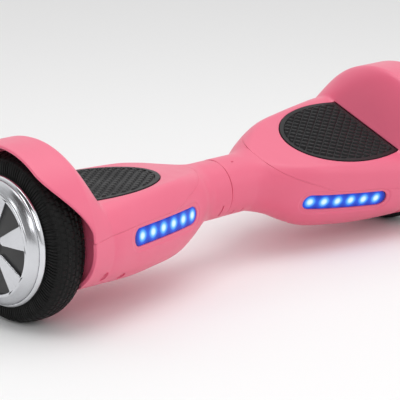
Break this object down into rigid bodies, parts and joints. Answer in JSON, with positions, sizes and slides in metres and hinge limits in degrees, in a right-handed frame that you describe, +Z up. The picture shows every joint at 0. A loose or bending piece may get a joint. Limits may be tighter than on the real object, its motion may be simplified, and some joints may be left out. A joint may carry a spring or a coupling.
{
  "type": "self balancing hoverboard",
  "caption": "Two-wheeled self balancing board: two tilting pods on a pivot, hub motor wheels under swept fenders, rubber foot pads and blue front light strips.",
  "frame": {"origin": "on the floor under the middle of the axle", "axes": "+X along the axle towards the right half, -Y towards the side with the lights, +Z up"},
  "size_m": [0.6066, 0.1882, 0.178],
  "materials": {
    "pink_shell": "satin moulded plastic",
    "blue_lens": "translucent blue, lit from behind",
    "circuit_board": "solder-masked board",
    "black_rubber": "moulded rubber, fine grain",
    "black_plastic": "satin black",
    "dark_steel": "black oxide",
    "cast_aluminium": "as cast, shot blasted",
    "steel": "ground",
    "copper": "enamelled wire",
    "cable_sheath": "smooth sheath",
    "polished_rim": "polished",
    "satin_hub": "satin with a polished band",
    "tyre_rubber": "matt, ribbed sidewall",
    "white_nylon": "satin",
    "bronze": "sintered",
    "battery_sleeve": "shrink sleeve",
    "chrome_button": "polished"
  },
  "bodies": {
    "left_half": {"left_upper_cover": "pink_shell", "left_lower_cover": "pink_shell", "left_light_lens": "blue_lens", "left_light_board": "circuit_board", "left_sensor_board": "circuit_board", "left_cover_screws": "dark_steel", "left_frame": "cast_aluminium", "left_axle_clamp": "cast_aluminium", "left_clamp_bolts": "dark_steel", "left_axle": "steel", "left_stator": "steel", "left_windings": "copper", "left_motor_cable": "cable_sheath", "pivot_shaft": "steel", "stop_pin": "steel", "thrust_washers": "white_nylon", "circlip": "dark_steel", "neck_seal": "black_rubber", "link_cable": "cable_sheath", "main_board": "circuit_board", "heat_sink": "cast_aluminium", "charge_socket": "black_plastic", "power_switch": "chrome_button"},
    "right_half": {"right_upper_cover": "pink_shell", "right_lower_cover": "pink_shell", "right_light_lens": "blue_lens", "right_light_board": "circuit_board", "right_sensor_board": "circuit_board", "right_cover_screws": "dark_steel", "right_frame": "cast_aluminium", "right_axle_clamp": "cast_aluminium", "right_clamp_bolts": "dark_steel", "right_axle": "steel", "right_stator": "steel", "right_windings": "copper", "right_motor_cable": "cable_sheath", "pivot_bushes": "bronze", "battery_pack": "battery_sleeve", "battery_strap": "steel"},
    "left_pad": {"left_foot_pad": "black_rubber", "left_pad_plate": "black_plastic"},
    "right_pad": {"right_foot_pad": "black_rubber", "right_pad_plate": "black_plastic"},
    "left_wheel": {"left_rotor_rim": "polished_rim", "left_magnets": "steel", "left_wheel_bearings": "steel", "left_motor_cover": "cast_aluminium", "left_hub_insert": "black_plastic", "left_hub_cover": "satin_hub", "left_tyre": "tyre_rubber"},
    "right_wheel": {"right_rotor_rim": "polished_rim", "right_magnets": "steel", "right_wheel_bearings": "steel", "right_motor_cover": "cast_aluminium", "right_hub_insert": "black_plastic", "right_hub_cover": "satin_hub", "right_tyre": "tyre_rubber"},
    "charge_cap": {"charge_cap": "black_rubber"},
    "power_button": {"power_button": "chrome_button"}
  },
  "joints": [
    {"name": "half_twist", "type": "hinge", "parent": "left_half", "child": "right_half", "pos_m": [0, 0, 0.083], "axis": [1, 0, 0], "range_deg": [-48, 2]},
    {"name": "left_wheel_spin", "type": "hinge", "parent": "left_half", "child": "left_wheel", "pos_m": [-0.27, 0, 0.083], "axis": [1, 0, 0], "continuous": true},
    {"name": "right_wheel_spin", "type": "hinge", "parent": "right_half", "child": "right_wheel", "pos_m": [0.27, 0, 0.083], "axis": [1, 0, 0], "continuous": true},
    {"name": "left_pad_press", "type": "slide", "parent": "left_half", "child": "left_pad", "axis": [0, 0, -1], "range_m": [0, 0.0015], "stiffness_N_per_m": 6000, "springref_m": -0.0006},
    {"name": "right_pad_press", "type": "slide", "parent": "right_half", "child": "right_pad", "axis": [0, 0.3907, -0.9205], "range_m": [0, 0.0015], "stiffness_N_per_m": 6000, "springref_m": -0.0006},
    {"name": "power_button_press", "type": "slide", "parent": "left_half", "child": "power_button", "axis": [0, -1, 0], "range_m": [0, 0.0015], "stiffness_N_per_m": 800, "springref_m": -0.0006},
    {"name": "charge_cap_open", "type": "hinge", "parent": "left_half", "child": "charge_cap", "pos_m": [-0.12, 0.06, 0.0746], "axis": [1, 0, 0], "range_deg": [0, 90]}
  ]
}
